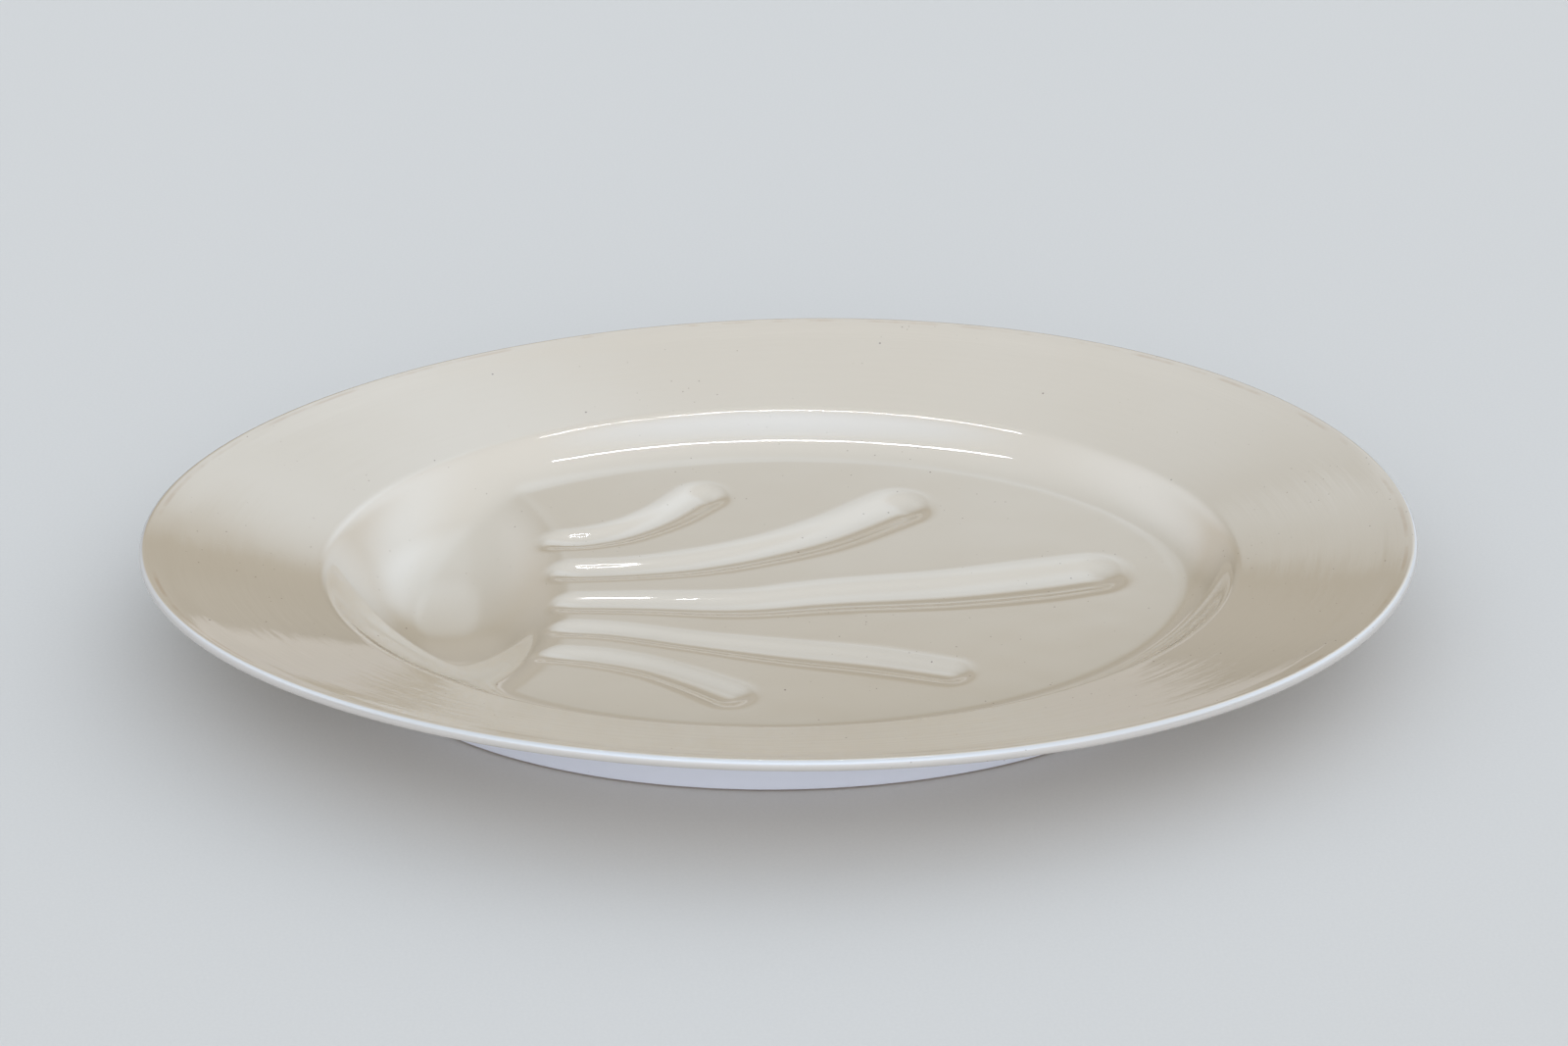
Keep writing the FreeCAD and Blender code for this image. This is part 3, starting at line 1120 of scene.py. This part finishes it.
def make_ripple_group() -> bpy.types.NodeTree:
    """Makes the group of a melted glaze's slow ripples over turning lines, with faint orange peel.

    Returns:
        The group, which puts out a height.
    """
    sheet, given, result = node_group(
        "glaze_ripple",
        {"Place": "NodeSocketVector", "Turned Place": "NodeSocketVector", "Ripple": "NodeSocketFloat",
         "Turning": "NodeSocketFloat", "Peel": "NodeSocketFloat"},
        {"Height": "NodeSocketFloat"})
    slow = sheet.noise(given.outputs["Place"], scale=26.0, detail=1.5)
    fine = sheet.noise(given.outputs["Place"], scale=420.0, detail=1.0)
    lines = sheet.noise(given.outputs["Turned Place"], scale=1.0, detail=3.0)
    waves = sheet.math("MULTIPLY", slow, given.outputs["Ripple"])
    peel = sheet.math("MULTIPLY", fine, given.outputs["Peel"])
    turned = sheet.math("MULTIPLY", lines, given.outputs["Turning"])
    height = sheet.math("ADD", sheet.math("ADD", waves, peel), turned)
    sheet.tree.links.new(height, result.inputs["Height"])
    return sheet.tree


@dataclass(frozen=True)
class Patches:
    """Soft patches over the ware: their noise, and the values of it where they start and are full."""

    scale: float
    detail: float
    start: float
    full: float

    def mask(self, sheet: NodeSheet, place: Socket) -> Socket:
        """The patches as a mask."""
        return sheet.ramp(sheet.noise(place, self.scale, self.detail), self.start, self.full)


@dataclass(frozen=True)
class Dots:
    """Round dark dots in the glaze: their spacing and size, how many stay away, and how dark they are."""

    spacing: float
    size: float
    rareness: float
    darkness: float

    def mask(self, sheet: NodeSheet, place: Socket, pinholes: bpy.types.NodeTree) -> Socket:
        """The dots as a mask, from the group of pinholes."""
        inputs = {"Place": place, "Spacing": self.spacing, "Dot Size": self.size, "Rareness": self.rareness}
        return sheet.add("ShaderNodeGroup", inputs, node_tree=pinholes).outputs[0]


@dataclass(frozen=True)
class Glaze:
    """A clear glossy glaze over pale clay, with what age and the kiln left in it, and a painted cool shade
    tint where it lies in shadow underneath.

    Shares named for the rim count from the middle of the platter out to its lip. The noise of the turning
    lines has lines_out cells over that way, and lines_round cells in each radian round the platter.
    """

    name: str
    body_colour: Colour
    thin_colour: Colour
    # Painted cool shade: a bluish-white tint for the shadow low on the underside
    cool_shade_colour: Colour
    edge_colour: Colour
    speck_colour: Colour = tone(92, 66, 48)
    worn_colour: Colour = tone(168, 138, 104)
    clay_colour: Colour = tone(122, 96, 78)
    clouds: Patches = Patches(scale=9.0, detail=3.0, start=0.3, full=0.72)
    cloud_share: float = 0.45
    # Heights over which the underside turns from the edge colour to the painted cool shade tint
    edge_down_to: float = 26 * MM
    cool_shade_below: float = 8 * MM
    worn_rim_shares: Pair = (0.9775, 0.9865)
    worn_full_shares: Pair = (0.9805, 0.983)
    worn_breaks: Patches = Patches(scale=60.0, detail=4.0, start=0.42, full=0.66)
    worn_share: float = 0.4
    pinholes: Dots = Dots(spacing=9 * MM, size=0.4 * MM, rareness=0.62, darkness=0.75)
    specks: Dots = Dots(spacing=3.4 * MM, size=0.3 * MM, rareness=0.45, darkness=0.6)
    speck_patches: Patches = Patches(scale=14.0, detail=2.0, start=0.42, full=0.62)
    turned_rim_shares: Pair = (0.68, 0.8)
    turning: float = 0.4
    lines_out: float = 70.0
    lines_round: float = 5.0
    ripple: float = 0.8
    peel: float = 0.012
    relief: float = 0.25 * MM
    scuffs: Patches = Patches(scale=34.0, detail=6.0, start=0.5, full=0.75)
    scuff_roughness: float = 0.05
    roughness: float = 0.03
    bare_below: float = 0.0
    bare_fade: float = 0.3 * MM
    bare_roughness: float = 0.6
    refraction: float = 1.7

    def build(self, pinhole_group: bpy.types.NodeTree, ripple_group: bpy.types.NodeTree,
              rim: Rim) -> bpy.types.Material:
        """Makes the glaze's material.

        Args:
            pinhole_group: The group of dark pinholes.
            ripple_group: The group of slow ripples.
            rim: The platter's rim, whose lip wears thin.

        Returns:
            The material.
        """
        material = bpy.data.materials.new(self.name)
        material.use_nodes = True
        sheet = NodeSheet(material.node_tree)
        place = sheet.add("ShaderNodeTexCoord").outputs["Object"]
        axes = sheet.add("ShaderNodeSeparateXYZ", {0: place})
        reach = self.rim_reach(sheet, axes, rim)
        colour = self.colour(sheet, place, axes.outputs[2], reach, pinhole_group)
        scuffed = sheet.math("MULTIPLY", self.scuffs.mask(sheet, place), self.scuff_roughness)
        roughness = sheet.math("ADD", scuffed, self.roughness)
        if self.bare_below > 0:
            bare = sheet.ramp(axes.outputs[2], self.bare_below + self.bare_fade, self.bare_below)
            colour = sheet.mix(bare, colour, self.clay_colour)
            roughness = sheet.math("ADD", sheet.math("MULTIPLY", bare, self.bare_roughness), roughness)
        waves = self.waves(sheet, place, axes, reach, ripple_group)
        bump = sheet.add("ShaderNodeBump", {"Height": waves, "Distance": self.relief, "Strength": 1.0})
        shader = sheet.add("ShaderNodeBsdfPrincipled",
                           {"Base Color": colour, "Roughness": roughness, "IOR": self.refraction,
                            "Normal": bump.outputs[0]})
        sheet.add("ShaderNodeOutputMaterial", {0: shader.outputs[0]})
        return material

    def rim_reach(self, sheet: NodeSheet, axes: Node, rim: Rim) -> Socket:
        """How far out each place lies.

        Args:
            sheet: The material's sheet of nodes.
            axes: The node that puts out the place's three parts.
            rim: The platter's rim.

        Returns:
            The share of the way from the middle of the platter to its lip.
        """
        along = sheet.math("POWER", sheet.math("DIVIDE", axes.outputs[0], rim.half_length), 2.0)
        across = sheet.math("POWER", sheet.math("DIVIDE", axes.outputs[1], rim.half_width), 2.0)
        return sheet.math("SQRT", sheet.math("ADD", along, across))

    def colour(self, sheet: NodeSheet, place: Socket, height: Socket, reach: Socket,
               pinhole_group: bpy.types.NodeTree) -> Socket:
        """The glaze's colour, with its clouds, a painted cool shade tint low on its underside, its worn lip,
        its pinholes and its specks.

        Args:
            sheet: The material's sheet of nodes.
            place: The place on the piece.
            height: The height there.
            reach: The share of the way out to the lip.
            pinhole_group: The group of dark pinholes.

        Returns:
            The colour.
        """
        cloudy = sheet.math("MULTIPLY", self.clouds.mask(sheet, place), self.cloud_share)
        colour = sheet.mix(cloudy, self.body_colour, self.thin_colour)
        under = sheet.add("ShaderNodeAttribute", attribute_name="underside").outputs["Fac"]
        # Painted cool shade: the underside turns bluish-white towards the bottom, standing in for the shadow
        # under the platter
        cool_shade_share = sheet.ramp(height, self.edge_down_to, self.cool_shade_below)
        colour = sheet.mix(under, colour, sheet.mix(cool_shade_share, self.edge_colour, self.cool_shade_colour))
        worn = sheet.math("MULTIPLY", self.lip_wear(sheet, reach, place), self.worn_share)
        colour = sheet.mix(worn, colour, self.worn_colour)
        dark = sheet.math("MULTIPLY", self.pinholes.mask(sheet, place, pinhole_group), self.pinholes.darkness)
        colour = sheet.mix(dark, colour, self.speck_colour)
        specks = self.specks.mask(sheet, place, pinhole_group)
        dusted = sheet.math("MULTIPLY", specks, self.speck_patches.mask(sheet, place))
        return sheet.mix(sheet.math("MULTIPLY", dusted, self.specks.darkness), colour, self.speck_colour)

    def lip_wear(self, sheet: NodeSheet, reach: Socket, place: Socket) -> Socket:
        """A thin broken line round the lip's upper edge, where the glaze ran thin.

        Args:
            sheet: The material's sheet of nodes.
            reach: The share of the way out to the lip.
            place: The place on the piece.

        Returns:
            The line as a mask.
        """
        inner, outer = (sheet.ramp(reach, start, full)
                        for start, full in zip(self.worn_rim_shares, self.worn_full_shares))
        line = sheet.math("MULTIPLY", inner, outer)
        return sheet.math("MULTIPLY", line, self.worn_breaks.mask(sheet, place))

    def waves(self, sheet: NodeSheet, place: Socket, axes: Node, reach: Socket,
              ripple_group: bpy.types.NodeTree) -> Socket:
        """The glaze's fine relief: ripples everywhere, and turning lines round the rim.

        Args:
            sheet: The material's sheet of nodes.
            place: The place on the piece.
            axes: The node that puts out the place's three parts.
            reach: The share of the way out to the lip.
            ripple_group: The group of slow ripples.

        Returns:
            The relief as a height.
        """
        angle = sheet.math("ARCTAN2", axes.outputs[1], axes.outputs[0])
        turned = sheet.add("ShaderNodeCombineXYZ", {0: sheet.math("MULTIPLY", reach, self.lines_out),
                                                    1: sheet.math("MULTIPLY", angle, self.lines_round)})
        turning = sheet.math("MULTIPLY", sheet.ramp(reach, *self.turned_rim_shares), self.turning)
        inputs = {"Place": place, "Turned Place": turned.outputs[0], "Ripple": self.ripple,
                  "Turning": turning, "Peel": self.peel}
        return sheet.add("ShaderNodeGroup", inputs, node_tree=ripple_group).outputs[0]


@dataclass(frozen=True)
class Lamp:
    """A soft rectangular lamp that faces a point."""

    name: str
    place: Place
    aim: Place
    size: Pair
    radiance: float
    colour: tuple[float, float, float] = (1, 1, 1)

    def build(self) -> None:
        """Adds the lamp to the scene, where only reflections show it."""
        light = bpy.data.lights.new(self.name, "AREA")
        light.shape = "RECTANGLE"
        light.size, light.size_y = self.size
        light.energy = self.radiance * math.pi * self.size[0] * self.size[1]
        light.color = self.colour
        lamp = bpy.data.objects.new(self.name, light)
        lamp.location = self.place
        way = Vector(self.aim) - Vector(self.place)
        lamp.rotation_euler = way.to_track_quat("-Z", "Y").to_euler()
        lamp.visible_camera = False
        lamp.visible_diffuse = False
        bpy.context.scene.collection.objects.link(lamp)


@dataclass(frozen=True)
class Glow:
    """A soft-edged patch of light in the studio's surround, like a large diffused lamp."""

    azimuth_degrees: float
    elevation_degrees: float
    full_degrees: float
    reach_degrees: float
    strength: float
    colour: Colour
    seen_by: SeenBy

    def aim(self) -> Place:
        """The way to the middle of the patch.

        Returns:
            The way, with the azimuth taken from the +Y side towards +X.
        """
        azimuth, elevation = math.radians(self.azimuth_degrees), math.radians(self.elevation_degrees)
        return (math.sin(azimuth) * math.cos(elevation), math.cos(azimuth) * math.cos(elevation),
                math.sin(elevation))

    def add(self, sheet: NodeSheet, way: Socket, mirrored: Socket) -> Node:
        """Adds the patch to the world's nodes.

        Args:
            sheet: The world's sheet of nodes.
            way: The socket with the direction looked at.
            mirrored: The socket that is 1 for a reflected ray.

        Returns:
            The shader of the patch.
        """
        close = sheet.add("ShaderNodeVectorMath", {0: way, 1: self.aim()}, operation="DOT_PRODUCT")
        edge, core = (math.cos(math.radians(degrees)) for degrees in (self.reach_degrees, self.full_degrees))
        strength = sheet.math("MULTIPLY", sheet.ramp(close.outputs["Value"], edge, core), self.strength)
        if self.seen_by is SeenBy.REFLECTIONS:
            strength = sheet.math("MULTIPLY", strength, mirrored)
        return sheet.add("ShaderNodeBackground", {"Color": self.colour, "Strength": strength})


@dataclass(frozen=True)
class Softbox:
    """A wide soft-edged softbox level over the platter, as part of the studio's surround.

    Its edges are given as runs over the height it hangs at: where its light starts to fade, and where
    it ends.
    """

    side_fade: Pair
    far_fade: Pair
    near_fade: Pair
    strength: float
    mirrored_strength: float
    colour: Colour
    lowest: float = 0.02

    def add(self, sheet: NodeSheet, way: Socket, mirrored: Socket) -> Node:
        """Adds the softbox to the world's nodes.

        Args:
            sheet: The world's sheet of nodes.
            way: The socket with the direction looked at.
            mirrored: The socket that is 1 for a reflected ray.

        Returns:
            The shader of the softbox.
        """
        axes = sheet.add("ShaderNodeSeparateXYZ", {0: way})
        height = sheet.math("MAXIMUM", axes.outputs[2], self.lowest)
        aside = sheet.math("ABSOLUTE", sheet.math("DIVIDE", axes.outputs[0], height))
        beyond = sheet.math("DIVIDE", axes.outputs[1], height)
        nearer = sheet.math("MULTIPLY", beyond, -1.0)
        light = sheet.ramp(aside, self.side_fade[1], self.side_fade[0])
        for run, fade in ((beyond, self.far_fade), (nearer, self.near_fade)):
            light = sheet.math("MULTIPLY", light, sheet.ramp(run, fade[1], fade[0]))
        extra = sheet.math("MULTIPLY", mirrored, self.mirrored_strength - self.strength)
        strength = sheet.math("MULTIPLY", light, sheet.math("ADD", extra, self.strength))
        return sheet.add("ShaderNodeBackground", {"Color": self.colour, "Strength": strength})


@dataclass(frozen=True)
class Studio:
    """A pale floor, a soft pale surround with patches of light in it, and the lamps."""

    lamps: tuple[Lamp, ...]
    glows: tuple[Glow | Softbox, ...]
    floor_colour: Colour
    surround_colour: Colour
    surround_strength: float
    mirrored_share: float
    floor_opening: Pair
    floor_half_span: float = 9.0
    floor_points: int = 160
    floor_roughness: float = 0.9
    floor_shine: float = 0.15
    grain_scale: float = 900.0
    grain_shade: float = 0.94

    def build(self) -> None:
        """Adds the floor, the surround and the lamps."""
        self.build_floor()
        self.build_surround()
        for lamp in self.lamps:
            lamp.build()

    def build_floor(self) -> None:
        """Adds the floor, which is open inside the foot, to let light in under the dish."""
        modeller = Modeller("studio_floor")
        opening = Ring(self.floor_opening[0], 0, self.floor_opening[1], 0)
        modeller.start_ring(self.floor_points, opening)
        modeller.draw_out(opening, [Ring(self.floor_half_span, 0, self.floor_half_span, 0)])
        modeller.face_up()
        floor = modeller.piece
        floor.data.materials.append(self.floor_material())

    def floor_material(self) -> bpy.types.Material:
        """Makes the floor's paper, which is clear from below.

        Returns:
            The material.
        """
        material = bpy.data.materials.new("studio_floor")
        material.use_nodes = True
        sheet = NodeSheet(material.node_tree)
        place = sheet.add("ShaderNodeTexCoord").outputs["Object"]
        grain = sheet.noise(place, self.grain_scale, detail=2.0)
        darker = tuple(value * self.grain_shade for value in self.floor_colour[:3]) + (1.0,)
        paper = sheet.add("ShaderNodeBsdfPrincipled",
                          {"Base Color": sheet.mix(grain, self.floor_colour, darker),
                           "Roughness": self.floor_roughness, "Specular IOR Level": self.floor_shine})
        clear = sheet.add("ShaderNodeBsdfTransparent")
        facing = sheet.add("ShaderNodeNewGeometry").outputs["Backfacing"]
        mixed = sheet.add("ShaderNodeMixShader", {0: facing, 1: paper.outputs[0], 2: clear.outputs[0]})
        sheet.add("ShaderNodeOutputMaterial", {0: mixed.outputs[0]})
        return material

    def build_surround(self) -> None:
        """Gives the world its even pale light and its patches, which the camera doesn't see."""
        world = bpy.data.worlds.new("studio_surround")
        world.use_nodes = True
        sheet = NodeSheet(world.node_tree)
        way = sheet.add("ShaderNodeTexCoord").outputs["Generated"]
        rays = sheet.add("ShaderNodeLightPath")
        mirrored = rays.outputs["Is Glossy Ray"]
        dimmed = sheet.math("SUBTRACT", 1.0, sheet.math("MULTIPLY", mirrored, 1 - self.mirrored_share))
        strength = sheet.math("MULTIPLY", dimmed, self.surround_strength)
        light = sheet.add("ShaderNodeBackground", {"Color": self.surround_colour, "Strength": strength})
        for glow in self.glows:
            patch = glow.add(sheet, way, mirrored)
            light = sheet.add("ShaderNodeAddShader", {0: light.outputs[0], 1: patch.outputs[0]})
        seen = sheet.add("ShaderNodeBackground", {"Color": self.floor_colour, "Strength": 1.0})
        mixed = sheet.add("ShaderNodeMixShader",
                          {0: rays.outputs["Is Camera Ray"], 1: light.outputs[0], 2: seen.outputs[0]})
        sheet.add("ShaderNodeOutputWorld", {0: mixed.outputs[0]})
        bpy.context.scene.world = world


@dataclass(frozen=True)
class PhotoCamera:
    """The photograph's camera."""

    target: Place = (2.94 * MM, 46.4 * MM, 20 * MM)
    distance: float = 1.3285
    azimuth_degrees: float = -1.95
    elevation_degrees: float = 27.99
    lens: float = 81.0
    sensor_width: float = 36.0

    def build(self) -> None:
        """Adds the camera and makes it the scene's."""
        azimuth, elevation = math.radians(self.azimuth_degrees), math.radians(self.elevation_degrees)
        back = Vector((math.sin(azimuth) * math.cos(elevation), -math.cos(azimuth) * math.cos(elevation),
                       math.sin(elevation)))
        data = bpy.data.cameras.new("photo_camera")
        data.lens = self.lens
        data.sensor_width = self.sensor_width
        camera = bpy.data.objects.new("photo_camera", data)
        camera.location = Vector(self.target) + back * self.distance
        camera.rotation_euler = (-back).to_track_quat("-Z", "Y").to_euler()
        bpy.context.scene.collection.objects.link(camera)
        bpy.context.scene.camera = camera


# The cream glaze's third colour is a painted cool shade tint for the low underside
CREAM_GLAZE = Glaze("cream_glaze", body_colour=tone(194, 178, 155), thin_colour=tone(189, 171, 145),
                    cool_shade_colour=tone(200, 205, 218), edge_colour=tone(189, 184, 178))
# The foot's bluish-white colours are painted cool shade, for the shadow under the rim where the foot stands
FOOT_GLAZE_AND_SHADE = Glaze("foot_glaze_and_shade", body_colour=tone(218, 222, 232), thin_colour=tone(213, 217, 229),
                   cool_shade_colour=tone(218, 222, 234), edge_colour=tone(218, 222, 234), bare_below=0.5 * MM)

STRIP_LAMP = Lamp("strip_lamp", place=(0.01, 0.09, 0.62), aim=(0.01, 0.09, 0), size=(0.29, 0.005),
                  radiance=90.0)

# The softbox overhead, then the patches of light round the platter
SURROUND_LIGHTS = (
    Softbox(side_fade=(1.2, 2.8), far_fade=(-0.4, 2.35), near_fade=(1.2, 2.4), strength=0.64,
            mirrored_strength=3.15, colour=tone(196, 226, 255)),
    Glow(180, 15, 10, 60, 1.7, tone(246, 248, 255), SeenBy.ALL),
    Glow(75, 30, 10, 60, 0.38, tone(246, 248, 255), SeenBy.ALL),
    Glow(180, 50, 15, 40, 1.6, tone(150, 200, 255), SeenBy.REFLECTIONS),
    Glow(25, 42, 8, 24, 1.1, tone(215, 235, 255), SeenBy.REFLECTIONS),
    Glow(62, 14, 20, 50, 1.35, tone(205, 230, 255), SeenBy.REFLECTIONS),
    Glow(32, 6, 6, 22, 0.4, tone(225, 240, 255), SeenBy.REFLECTIONS),
    Glow(-68, 17, 22, 52, 1.25, tone(235, 240, 250), SeenBy.REFLECTIONS),
    Glow(0, 33, 4, 10, 0.55, tone(225, 240, 255), SeenBy.REFLECTIONS),
    Glow(-6, 15, 5, 12, 0.3, tone(240, 240, 245), SeenBy.REFLECTIONS),
    Glow(-3, 3, 8, 9.5, 0.65, tone(240, 240, 245), SeenBy.REFLECTIONS),
)


def write_sizes() -> None:
    """Brings the view layer up to date."""
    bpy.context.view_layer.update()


def main() -> None:
    """Builds the platter, dresses it, and sets up the studio and the camera."""
    logging.basicConfig(level=logging.INFO, format="%(message)s")
    low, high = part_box("dish_body")
    rim = Rim((high.x - low.x) / 2 - BOX_CLEARANCE, (high.y - low.y) / 2 - BOX_CLEARANCE)
    dish = Dish(rim, Well(), GravyWell(), CHANNELS)
    foot = FootRing()
    groups = make_pinhole_group(), make_ripple_group()
    dish.dress(dish.build("platter_dish"), CREAM_GLAZE.build(*groups, rim))
    foot.dress(foot.build("platter_foot", dish), FOOT_GLAZE_AND_SHADE.build(*groups, rim))
    Studio(
        lamps=(STRIP_LAMP,),
        glows=SURROUND_LIGHTS,
        floor_colour=tone(214, 210, 204),
        surround_colour=tone(240, 236, 231),
        surround_strength=0.48,
        mirrored_share=0.3,
        floor_opening=foot.edge_middle(),
    ).build()
    PhotoCamera().build()
    bpy.context.scene.view_settings.view_transform = "Standard"
    write_sizes()


if __name__ == "__main__":
    main()
